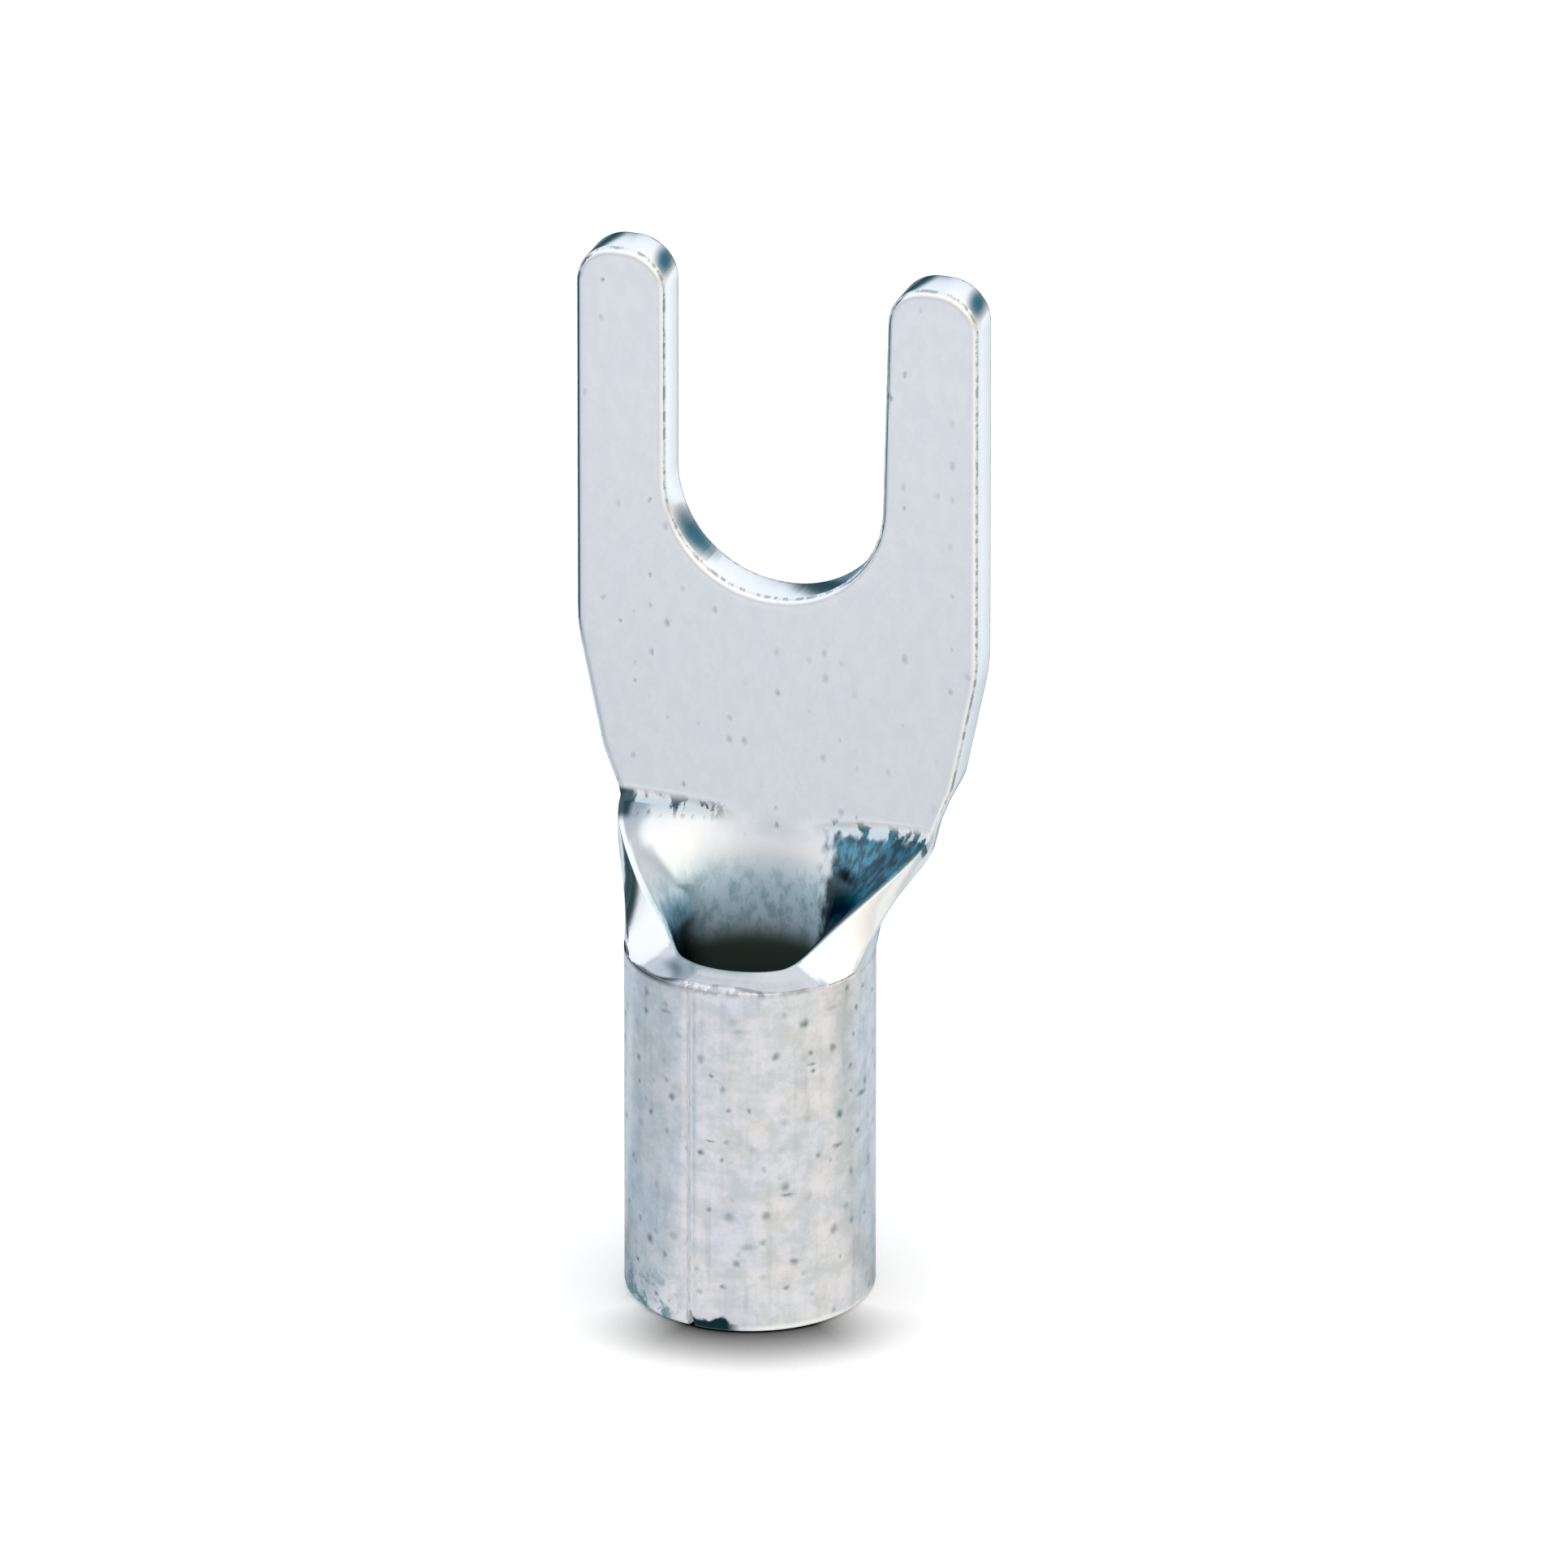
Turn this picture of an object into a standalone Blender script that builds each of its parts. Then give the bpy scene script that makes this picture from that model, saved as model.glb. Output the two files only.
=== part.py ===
"""Fork terminal: a bare crimp terminal of tinned copper, one piece of sheet.

It is modelled the way it is made. A flat blank is stamped with the fork at one end and two wings at
the other. The wings are rolled round a pin until they butt and are brazed, which makes the barrel for
the wire. Between the barrel and the palm the sheet unrolls from a tube to a flat plate.

Metres, +Z up. The terminal stands on the wire end of its barrel. The barrel's axis is the Z axis, the
palm lies at the back of it (+Y), and the open mouth and the seam face the front (-Y).
"""

import math

import bmesh
import bpy
from mathutils import Matrix, Vector

MM = 0.001

# The sheet
SHEET = 0.81 * MM
EDGE_ROUND = 0.12 * MM

# The barrel, which takes the wire, and its brazed seam
BORE_RADIUS = 1.215 * MM
BARREL_LENGTH = 6.05 * MM
SEAM_OFFSET = 0.19 * MM
SEAM_WIDTH = 0.16 * MM
SEAM_GROOVE = 0.03 * MM
SEAM_NOTCH = 0.38 * MM

# The outline of the neck, the open stretch above the barrel
NECK_WIDTH = 4.9 * MM
NECK_LENGTH = 1.15 * MM
NECK_TOP = BARREL_LENGTH + NECK_LENGTH
NECK_ROUND = 1.5 * MM
NECK_FILLET = 0.5 * MM

# How the neck unrolls from the barrel's round to the palm's flat
OPENING_LEAD = 0.05 * MM
OPENING_LENGTH = 1.7 * MM
OPENING_EASE = 1.6
OPENING_START = BARREL_LENGTH - OPENING_LEAD

# The palm, from its heel above the neck to the tips of the fork
HEEL_WIDTH = 5.98 * MM
HEEL_LENGTH = 1.37 * MM
HEEL_HEIGHT = NECK_TOP + HEEL_LENGTH
HEEL_ROUND = 0.8 * MM
TAPER_LENGTH = 1.98 * MM
SHOULDER_HEIGHT = HEEL_HEIGHT + TAPER_LENGTH
SHOULDER_ROUND = 3.0 * MM
PALM_WIDTH = 6.8 * MM
FORK_LENGTH = 6.65 * MM
LENGTH = SHOULDER_HEIGHT + FORK_LENGTH
TIP_FLAT = 0.15 * MM
SLOT_WIDTH = 3.79 * MM
SLOT_LEAN = 0.15 * MM
SLOT_DEPTH = 5.72 * MM

# The band along each edge of the neck where the press squeezed the sheet thinner
SQUEEZE = 0.46 * MM
SQUEEZE_BAND = 1.2 * MM
SQUEEZE_LEAD = 0.2 * MM
SQUEEZE_RISE = 1.3 * MM
SQUEEZE_START = BARREL_LENGTH + SQUEEZE_LEAD
HEEL_STEP = 0.47 * MM
HEEL_STEP_LEAD = 0.12 * MM
HEEL_STEP_TOP = HEEL_HEIGHT + HEEL_STEP_LEAD

# How finely round stretches are cut
ARC_STEP = math.radians(10)
ROLL_COLUMNS = 48
NECK_ROWS = 21
EDGE_STEPS = 2
CORNER_ANGLE = math.radians(60)
SMOOTH_ANGLE = math.radians(40)
FLAT_ANGLE = math.radians(1)
SLOPE_STEP = 0.002 * MM
NEARLY_FLAT = 1e-5
WELD = 1e-7

TINNED_COPPER = (0.69, 0.70, 0.73, 1.0)
TIN_ROUGHNESS = 0.25


def clear_scene():
    for obj in list(bpy.data.objects):
        bpy.data.objects.remove(obj)


def tinned_copper():
    """Bright tin plate over the copper."""
    material = bpy.data.materials.new("tinned_copper")
    material.use_nodes = True
    shader = material.node_tree.nodes["Principled BSDF"]
    shader.inputs["Base Color"].default_value = TINNED_COPPER
    shader.inputs["Metallic"].default_value = 1.0
    shader.inputs["Roughness"].default_value = TIN_ROUGHNESS
    return material


def rounded_corner(before, corner, after, radius):
    """Points of the arc that replaces a corner of an outline, from one straight side to the next."""
    if radius == 0:
        return [corner]
    back = (before - corner).normalized()
    ahead = (after - corner).normalized()
    half_angle = back.angle(ahead) / 2
    centre = corner + (back + ahead).normalized() * (radius / math.sin(half_angle))
    start = corner + back * (radius / math.tan(half_angle)) - centre
    sweep = start.angle_signed(corner + ahead * (radius / math.tan(half_angle)) - centre)
    steps = max(2, round(abs(sweep) / ARC_STEP))
    return [centre + Matrix.Rotation(-sweep * i / steps, 2) @ start for i in range(steps + 1)]


def wing_end(side):
    """Where a wing ends, measured round the bore from the middle of the back."""
    return side * math.pi * BORE_RADIUS + SEAM_OFFSET


def half_outline(side):
    """One side of the stamped blank, from the wing's lower corner up to the bottom of the slot."""
    neck = NECK_WIDTH / 2
    palm = PALM_WIDTH / 2
    slot = SLOT_WIDTH / 2
    root = slot - SLOT_LEAN if side > 0 else slot
    root_radius = (SLOT_WIDTH - SLOT_LEAN) / 2
    slot_bottom = LENGTH - SLOT_DEPTH
    tip_radius = (palm - slot - TIP_FLAT) / 2
    corners = [
        (side * wing_end(side), 0, 0),
        (side * wing_end(side), BARREL_LENGTH, 0),
        (neck, BARREL_LENGTH, NECK_FILLET),
        (neck, NECK_TOP, NECK_ROUND),
        (HEEL_WIDTH / 2, HEEL_HEIGHT, HEEL_ROUND),
        (palm, SHOULDER_HEIGHT, SHOULDER_ROUND),
        (palm, LENGTH, tip_radius),
        (slot, LENGTH, tip_radius),
        (root, slot_bottom, root_radius),
        (root - root_radius, slot_bottom, 0),
    ]
    places = [Vector((x, y)) for x, y, radius in corners]
    half = [places[0]]
    for i in range(1, len(corners) - 1):
        half += rounded_corner(places[i - 1], places[i], places[i + 1], corners[i][2])
    return [(side * x, y) for x, y in half]


def blank_outline():
    """The whole outline, drawn flat: x across the sheet, y up its length."""
    right = half_outline(1)
    left = half_outline(-1)
    return right + left[-2::-1]


def flat_blank():
    """The blank as a plate lying in the XY plane, its front face at z = 0 and its back at -SHEET."""
    curve = bpy.data.curves.new("blank_outline", "CURVE")
    curve.dimensions = "2D"
    curve.fill_mode = "BOTH"
    curve.extrude = SHEET / 2
    points = blank_outline()
    spline = curve.splines.new("POLY")
    spline.points.add(len(points) - 1)
    for point, (x, y) in zip(spline.points, points):
        point.co = (x, y, 0, 1)
    spline.use_cyclic_u = True
    guide = bpy.data.objects.new("blank_outline", curve)
    bpy.context.scene.collection.objects.link(guide)
    graph = bpy.context.evaluated_depsgraph_get()
    mesh = bpy.data.meshes.new_from_object(guide.evaluated_get(graph))
    bpy.data.objects.remove(guide)
    plate = bmesh.new()
    plate.from_mesh(mesh)
    bpy.data.meshes.remove(mesh)
    bmesh.ops.remove_doubles(plate, verts=plate.verts, dist=WELD)
    bmesh.ops.dissolve_limit(plate, angle_limit=FLAT_ANGLE, verts=plate.verts, edges=plate.edges)
    bmesh.ops.translate(plate, vec=(0, 0, -SHEET / 2), verts=plate.verts)
    return plate


def at_seam(vert):
    return min(abs(vert.co.x - wing_end(side)) for side in (-1, 1)) < WELD


def butts(edge):
    """True for an edge that lies along the end of one wing."""
    first, second = edge.verts
    return at_seam(first) and abs(first.co.x - second.co.x) < WELD


def round_edges(plate):
    """Rounds the stamped edges, all but the two that butt in the seam."""
    rims = [e for e in plate.edges if e.calc_face_angle(0) > CORNER_ANGLE and not butts(e)]
    bmesh.ops.bevel(plate, geom=rims, offset=EDGE_ROUND, segments=EDGE_STEPS, profile=0.5, affect="EDGES")


def cut_across(plate, place, direction, top=LENGTH):
    """New edges where a plane crosses the faces that lie below the given height."""
    geometry = set()
    for face in plate.faces:
        if face.calc_center_median().y < top:
            geometry.update([face], face.edges, face.verts)
    bmesh.ops.bisect_plane(plate, geom=list(geometry), plane_co=place, plane_no=direction, dist=WELD)


def cut_for_rolling(plate):
    """Rows across the neck and columns up the blank, so that the flat faces can follow the roll."""
    for row in range(NECK_ROWS + 1):
        height = HEEL_STEP_TOP + (OPENING_START - HEEL_STEP_TOP) * row / NECK_ROWS
        cut_across(plate, (0, height, 0), (0, 1, 0))
    for column in range(1, ROLL_COLUMNS):
        across = wing_end(-1) + 2 * math.pi * BORE_RADIUS * column / ROLL_COLUMNS
        cut_across(plate, (across, 0, 0), (1, 0, 0), top=HEEL_STEP_TOP)
    for side in (-1, 1):
        across = wing_end(side) - side * SEAM_WIDTH / 2
        cut_across(plate, (across, 0, 0), (1, 0, 0), top=BARREL_LENGTH)


def open_seam_ends(plate):
    """Takes away the two end faces that butt, so that the rolled wings join into one wall."""
    ends = [f for f in plate.faces if all(at_seam(v) for v in f.verts)]
    bmesh.ops.delete(plate, geom=ends, context="FACES")


def smooth_step(share):
    """From 0 to 1 with no corner at either end."""
    share = min(max(share, 0), 1)
    return share * share * (3 - 2 * share)


def held_open(along, height):
    """1 in the neck and the palm, fading to 0 toward the seam, so that the barrel's rim stays shut."""
    if height > BARREL_LENGTH + NECK_FILLET:
        return 1
    neck = NECK_WIDTH / 2 + NECK_FILLET
    wing = math.pi * BORE_RADIUS - SEAM_OFFSET
    return smooth_step((wing - along) / (wing - neck))


def front_face(across, height):
    """Where a point of the flat blank's front face goes when the sheet is rolled.

    A section through the sheet is an arc, in the barrel of the bore's radius. Up the neck it unrolls
    to a wider and wider arc, and at the top of the opening it is flat, which leaves the cross bend
    where the palm begins.
    """
    along = abs(across)
    climb = min(max(height - OPENING_START, 0) / OPENING_LENGTH, 1)
    radius = BORE_RADIUS / max(1 - held_open(along, height) * climb**OPENING_EASE, NEARLY_FLAT)
    turn = along / radius
    x = math.copysign(radius, across) * math.sin(turn)
    rise = 2 * radius * math.sin(turn / 2) ** 2
    return Vector((x, BORE_RADIUS - rise, height))


def thickness(across, height):
    """The share of the sheet left where the press squeezed the edges of the neck."""
    along = abs(across)
    inner_edge = NECK_WIDTH / 2 - SQUEEZE_BAND
    beside = smooth_step((along - inner_edge) / SQUEEZE_BAND)
    rising = smooth_step((height - SQUEEZE_START) / SQUEEZE_RISE)
    fading = smooth_step((HEEL_STEP_TOP - height) / HEEL_STEP)
    return 1 - SQUEEZE / SHEET * held_open(along, height) * beside * rising * fading


def folded(point):
    """The place in the finished terminal of a point of the flat blank."""
    across, height, depth = point
    along_x = front_face(across + SLOPE_STEP, height) - front_face(across - SLOPE_STEP, height)
    along_z = front_face(across, height + SLOPE_STEP) - front_face(across, height - SLOPE_STEP)
    forward = along_x.cross(along_z).normalized()
    return front_face(across, height) + forward * depth * thickness(across, height)


def sink_seam(plate):
    """The brazed butt: a fine groove down the outside, and a small notch at the wire end."""
    for vert in plate.verts:
        if not at_seam(vert):
            continue
        if vert.co.z < -SHEET / 2:
            vert.co.z += SEAM_GROOVE
        if vert.co.y < BARREL_LENGTH / 2:
            vert.co.y += SEAM_NOTCH


def fork_terminal():
    plate = flat_blank()
    round_edges(plate)
    cut_for_rolling(plate)
    open_seam_ends(plate)
    sink_seam(plate)
    for vert in plate.verts:
        vert.co = folded(vert.co)
    bmesh.ops.remove_doubles(plate, verts=plate.verts, dist=WELD)
    bmesh.ops.recalc_face_normals(plate, faces=plate.faces)
    mesh = bpy.data.meshes.new("fork_terminal")
    plate.to_mesh(mesh)
    plate.free()
    mesh.shade_smooth()
    mesh.set_sharp_from_angle(angle=SMOOTH_ANGLE)
    mesh.materials.append(tinned_copper())
    return bpy.data.objects.new("fork_terminal", mesh)


def main():
    clear_scene()
    parts = bpy.data.collections.new("fork_terminal")
    bpy.context.scene.collection.children.link(parts)
    parts.objects.link(fork_terminal())


main()
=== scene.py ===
# %% [markdown]
# # A fork terminal of tinned copper
#
# This lesson dresses one small piece: a crimp terminal stamped from copper sheet, rolled up at one
# end into a barrel for the wire, and plated with tin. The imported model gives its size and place. We
# make the same sheet again with finer faces, roll it with Geometry Nodes, give it a worn bright tin
# finish, and set it on a pale floor in a small studio whose reflections the metal can show.

import math

import bmesh
import bpy
from mathutils import Matrix, Vector


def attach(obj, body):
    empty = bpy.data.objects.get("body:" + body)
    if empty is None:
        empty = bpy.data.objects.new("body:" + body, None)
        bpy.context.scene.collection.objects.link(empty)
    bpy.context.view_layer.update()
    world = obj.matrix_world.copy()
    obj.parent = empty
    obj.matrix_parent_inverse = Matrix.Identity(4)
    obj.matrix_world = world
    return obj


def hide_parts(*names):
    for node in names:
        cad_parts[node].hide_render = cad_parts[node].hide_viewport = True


MM = 0.001
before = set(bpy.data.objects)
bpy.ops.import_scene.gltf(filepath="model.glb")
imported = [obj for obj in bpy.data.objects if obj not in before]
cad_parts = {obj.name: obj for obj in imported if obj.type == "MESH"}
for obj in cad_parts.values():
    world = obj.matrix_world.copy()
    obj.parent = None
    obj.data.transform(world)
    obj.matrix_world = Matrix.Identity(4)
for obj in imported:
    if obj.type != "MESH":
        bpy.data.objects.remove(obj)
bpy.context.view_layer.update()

# %% [markdown]
# ## The camera
#
# The photograph was taken from the right of the terminal's front and from above, with a long lens,
# so its upright lines stay almost parallel. A camera could be dragged into place by eye, but it is
# easier to repeat when we name its two angles and the point it looks at, and then step back along the
# line of sight. The frame is 25 mm wide, and two pixels of it say where the barrel stands.

# %% Camera
CAMERA_TURN = math.radians(19.5)
CAMERA_RISE = math.radians(24)
CAMERA_DISTANCE = 0.6
SENSOR_WIDTH = 36
NEAREST_SEEN = 0.01
FRAME_WIDTH = 25.25 * MM
IMAGE_SIZE = 1932
PIXEL = FRAME_WIDTH / IMAGE_SIZE
AXIS_COLUMN = 924.3
BASE_ROW = 1578

sideways = Vector((math.cos(CAMERA_TURN), math.sin(CAMERA_TURN), 0))
back = Vector(
    (
        math.sin(CAMERA_TURN) * math.cos(CAMERA_RISE),
        -math.cos(CAMERA_TURN) * math.cos(CAMERA_RISE),
        math.sin(CAMERA_RISE),
    )
)
upward = back.cross(sideways)
aim = sideways * (IMAGE_SIZE / 2 - AXIS_COLUMN) * PIXEL
aim += upward * (BASE_ROW - IMAGE_SIZE / 2) * PIXEL

lens = bpy.data.cameras.new("camera")
lens.sensor_width = SENSOR_WIDTH
lens.lens = SENSOR_WIDTH * CAMERA_DISTANCE / FRAME_WIDTH
lens.clip_start = NEAREST_SEEN
camera = bpy.data.objects.new("camera", lens)
camera.matrix_world = Matrix.Translation(aim + back * CAMERA_DISTANCE) @ Matrix(
    (sideways, upward, back)
).transposed().to_4x4()
bpy.context.scene.collection.objects.link(camera)
bpy.context.scene.camera = camera
print("camera lens:", round(lens.lens), "mm")

# %% [markdown]
# ## Two helpers
#
# Colours are picked as hex values, the way a screen shows them, but the renderer adds up light, so
# each one is turned linear once. The other helper adds a node, sets it up and wires it in one call:
# what it is given is either a socket, which it links, or a value, which it writes.


# %% Colour and node helpers
def colour(code):
    """The linear colour, with alpha, of an sRGB hex value."""
    shares = [int(code[i : i + 2], 16) / 255 for i in (1, 3, 5)]
    linear = [s / 12.92 if s <= 0.04045 else ((s + 0.055) / 1.055) ** 2.4 for s in shares]
    return (*linear, 1.0)


def add(tree, kind, *inputs, output=0, named=None, **settings):
    """Adds a node, sets its properties and inputs, and gives back one of its outputs."""
    made = tree.nodes.new(kind)
    for name, value in settings.items():
        setattr(made, name, value)
    pairs = list(enumerate(inputs)) + list((named or {}).items())
    for key, value in pairs:
        if isinstance(value, bpy.types.NodeSocket):
            tree.links.new(value, made.inputs[key])
        elif value is not None:
            made.inputs[key].default_value = value
    return made.outputs[output] if len(made.outputs) else made


print("middle grey as light:", round(colour("#808080")[0], 3))

# %% [markdown]
# ## The flat blank
#
# The real terminal starts as a flat piece punched from 0.81 mm sheet: two wings at the bottom, a
# narrower neck, a palm that widens, and the open fork. It could be modelled bent, face by face, but
# then no length would be easy to check. We draw the flat outline instead, as corners with a radius
# each, as a toolmaker would. The bottom of the slot is a half circle, and one side of the slot leans
# a little, as in the photograph. All lengths are in millimetres until the plate is finished.

# %% Sizes of the blank
SHEET = 0.81
EDGE_ROUND = 0.12
BORE_RADIUS = 1.215
BARREL_LENGTH = 6.05
SEAM_OFFSET = 0.19
NECK_WIDTH = 4.9
NECK_LENGTH = 1.15
NECK_TOP = BARREL_LENGTH + NECK_LENGTH
NECK_ROUND = 1.5
NECK_FILLET = 0.5
HEEL_WIDTH = 5.98
HEEL_RISE = 1.37
HEEL_HEIGHT = NECK_TOP + HEEL_RISE
HEEL_ROUND = 0.8
PALM_WIDTH = 6.8
TAPER_LENGTH = 1.98
SHOULDER_HEIGHT = HEEL_HEIGHT + TAPER_LENGTH
SHOULDER_ROUND = 3.0
FORK_LENGTH = 6.65
LENGTH = SHOULDER_HEIGHT + FORK_LENGTH
SLOT_WIDTH = 3.79
SLOT_LEAN = 0.15
SLOT_DEPTH = 5.72
TIP_FLAT = 0.15
ARC_STEP = math.radians(4)
print("length of the blank:", round(LENGTH, 2), "mm")

# %% [markdown]
# A corner of the outline is a place and a radius. One function turns it into the points of its arc,
# and another lists the corners of one side, so the two sides share their numbers and differ only
# where the real ones do.


# %% The blank's outline
def wing_end(side):
    """Where a wing ends, measured round the bore from the middle of the back."""
    return side * math.pi * BORE_RADIUS + SEAM_OFFSET


def rounded_corner(before, corner, after, radius):
    """Points of the arc that replaces a corner of an outline, from one straight side to the next."""
    if radius == 0:
        return [corner]
    arriving = (before - corner).normalized()
    leaving = (after - corner).normalized()
    half_angle = arriving.angle(leaving) / 2
    centre = corner + (arriving + leaving).normalized() * (radius / math.sin(half_angle))
    start = corner + arriving * (radius / math.tan(half_angle)) - centre
    sweep = start.angle_signed(corner + leaving * (radius / math.tan(half_angle)) - centre)
    steps = max(2, round(abs(sweep) / ARC_STEP))
    return [centre + Matrix.Rotation(-sweep * i / steps, 2) @ start for i in range(steps + 1)]


def half_outline(side):
    """One side of the stamped blank, from the wing's lower corner up to the bottom of the slot."""
    neck = NECK_WIDTH / 2
    palm = PALM_WIDTH / 2
    slot = SLOT_WIDTH / 2
    root = slot - SLOT_LEAN if side > 0 else slot
    arc = (SLOT_WIDTH - SLOT_LEAN) / 2
    slot_bottom = LENGTH - SLOT_DEPTH
    tip_radius = (palm - slot - TIP_FLAT) / 2
    corners = [
        (side * wing_end(side), 0, 0),
        (side * wing_end(side), BARREL_LENGTH, 0),
        (neck, BARREL_LENGTH, NECK_FILLET),
        (neck, NECK_TOP, NECK_ROUND),
        (HEEL_WIDTH / 2, HEEL_HEIGHT, HEEL_ROUND),
        (palm, SHOULDER_HEIGHT, SHOULDER_ROUND),
        (palm, LENGTH, tip_radius),
        (slot, LENGTH, tip_radius),
        (root, slot_bottom, arc),
        (root - arc, slot_bottom, 0),
    ]
    places = [Vector((x, y)) for x, y, radius in corners]
    half = [places[0]]
    for i in range(1, len(corners) - 1):
        half += rounded_corner(places[i - 1], places[i], places[i + 1], corners[i][2])
    return [(side * x, y) for x, y in half]


outline = half_outline(1) + half_outline(-1)[-2::-1]
print("points in the blank's outline:", len(outline))

# %% [markdown]
# ## The punched plate
#
# Punching leaves the edges a little round. The outline is extruded to the sheet's thickness, and all
# its edges are bevelled in one go, but for the two wing ends that will meet in the seam.

# %% The plate
TOUCHING = 1e-5
EDGE_STEPS = 4
CORNER_ANGLE = math.radians(60)


def seam_gap(vert):
    """How far a point lies from the nearer wing end."""
    return min(abs(vert.co.x - wing_end(side)) for side in (-1, 1))


def butts(edge):
    """True for an edge that lies along the end of one wing."""
    first, second = edge.verts
    return seam_gap(first) < TOUCHING and abs(first.co.x - second.co.x) < TOUCHING


plate = bmesh.new()
front = plate.faces.new([plate.verts.new((x, y, 0)) for x, y in outline])
grown = bmesh.ops.extrude_face_region(plate, geom=[front], use_keep_orig=True)
bmesh.ops.translate(
    plate, vec=(0, 0, -SHEET), verts=[v for v in grown["geom"] if isinstance(v, bmesh.types.BMVert)]
)
bmesh.ops.recalc_face_normals(plate, faces=plate.faces)
rims = [e for e in plate.edges if e.calc_face_angle(0) > CORNER_ANGLE and not butts(e)]
bmesh.ops.bevel(
    plate,
    geom=rims,
    offset=EDGE_ROUND,
    segments=EDGE_STEPS,
    profile=0.5,
    affect="EDGES",
    face_strength_mode="ALL",
)
print("faces of the punched plate:", len(plate.faces))

# %% [markdown]
# ## A grid to bend by
#
# Rolling will move points, not faces, so a large flat face could not bend. Subdividing would cut
# everything alike. Planes cut the plate into rows and columns instead, closer together in the neck,
# where it bends most, and beside the seam, where a groove will run.

# %% Rows and columns
# The neck starts to open just under the barrel's rim and is flat some way below the palm's heel
OPENING_LEAD = 0.05
OPENING_START = BARREL_LENGTH - OPENING_LEAD
OPENING_STOP = 0.87
OPENING_TOP = HEEL_HEIGHT - OPENING_STOP
NECK_ROW = 0.07
PLAIN_ROW = 0.21
COLUMN = 0.105
SEAM_WIDTH = 0.16
GROOVE_CUTS = (SEAM_WIDTH / 4, SEAM_WIDTH / 2)


def cut(place, direction):
    """Cuts the whole plate along one plane."""
    bmesh.ops.bisect_plane(
        plate,
        geom=plate.verts[:] + plate.edges[:] + plate.faces[:],
        plane_co=place,
        plane_no=direction,
        dist=TOUCHING,
    )


height = PLAIN_ROW
while height < LENGTH - EDGE_ROUND:
    cut((0, height, 0), (0, 1, 0))
    bending = OPENING_START - PLAIN_ROW < height < OPENING_TOP
    height += NECK_ROW if bending else PLAIN_ROW
blank_width = wing_end(1) - wing_end(-1)
columns = math.ceil(blank_width / COLUMN)
for column in range(1, columns):
    cut((wing_end(-1) + blank_width * column / columns, 0, 0), (1, 0, 0))
for side in (-1, 1):
    for inset in GROOVE_CUTS:
        cut((wing_end(side) - side * inset, 0, 0), (1, 0, 0))
print("faces of the flat plate:", len(plate.faces))

# %% [markdown]
# ## The seam
#
# The wings meet in a butt that is brazed, so the barrel's wall is closed. The two end faces come off,
# and after the rolling their rims are welded. A fine groove stays along the outside, and at the wire
# end the corners part in a small V.

# %% Seam groove and notch
SEAM_GROOVE = 0.035
SEAM_NOTCH = 0.38

ends = [f for f in plate.faces if all(seam_gap(v) < TOUCHING for v in f.verts)]
bmesh.ops.delete(plate, geom=ends, context="FACES")
for vert in plate.verts:
    gap = seam_gap(vert)
    if gap > SEAM_WIDTH / 2 or vert.co.y > BARREL_LENGTH + TOUCHING:
        continue
    closeness = 1 - gap / (SEAM_WIDTH / 2)
    if vert.co.z < -SHEET / 2:
        vert.co.z += SEAM_GROOVE * closeness**2
    if gap < TOUCHING and vert.co.y < SEAM_NOTCH:
        vert.co.y += (SEAM_NOTCH - vert.co.y) * (1 - vert.co.y / SEAM_NOTCH)
bmesh.ops.scale(plate, vec=(MM, MM, MM), verts=plate.verts)
flat_mesh = bpy.data.meshes.new("terminal_blank")
plate.to_mesh(flat_mesh)
plate.free()
blank = bpy.data.objects.new("terminal_blank", flat_mesh)
bpy.context.scene.collection.objects.link(blank)
print("seam ends opened:", len(ends))

# %% [markdown]
# ## The roll, as Geometry Nodes
#
# The whole form follows one rule, so a node tree can roll the blank. Any section across the sheet is
# an arc. In the barrel the arc has the bore's radius and closes on itself. Up the neck its radius
# grows, slowly at first, so the arc unrolls until it is straight: that is the palm. The length of the
# arc is the blank's own width at that height, so the metal is bent and not stretched. The first group
# says where one point of the front face goes. All its sizes are in millimetres, because very small
# numbers would lose their last digits.

# %% Group: where the front face goes
front_rule = bpy.data.node_groups.new("front_face", "GeometryNodeTree")
OPENING_EASE = 1.6
NEARLY_FLAT = 1e-5
RULE_SIZES = {
    "Bore Radius": BORE_RADIUS,
    "Opening Start": OPENING_START,
    "Opening Top": OPENING_TOP,
    "Opening Ease": OPENING_EASE,
    "Rim Height": BARREL_LENGTH + NECK_FILLET,
    "Neck Edge": NECK_WIDTH / 2 + NECK_FILLET,
    "Wing End": math.pi * BORE_RADIUS - SEAM_OFFSET,
}
for name in ["Across", "Height", *RULE_SIZES]:
    front_rule.interface.new_socket(name, in_out="INPUT", socket_type="NodeSocketFloat")
front_rule.interface.new_socket("Place", in_out="OUTPUT", socket_type="NodeSocketVector")
front_rule.interface.new_socket("Held", in_out="OUTPUT", socket_type="NodeSocketFloat")

MATH = "ShaderNodeMath"
RANGE = "ShaderNodeMapRange"
given = front_rule.nodes.new("NodeGroupInput").outputs
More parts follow.
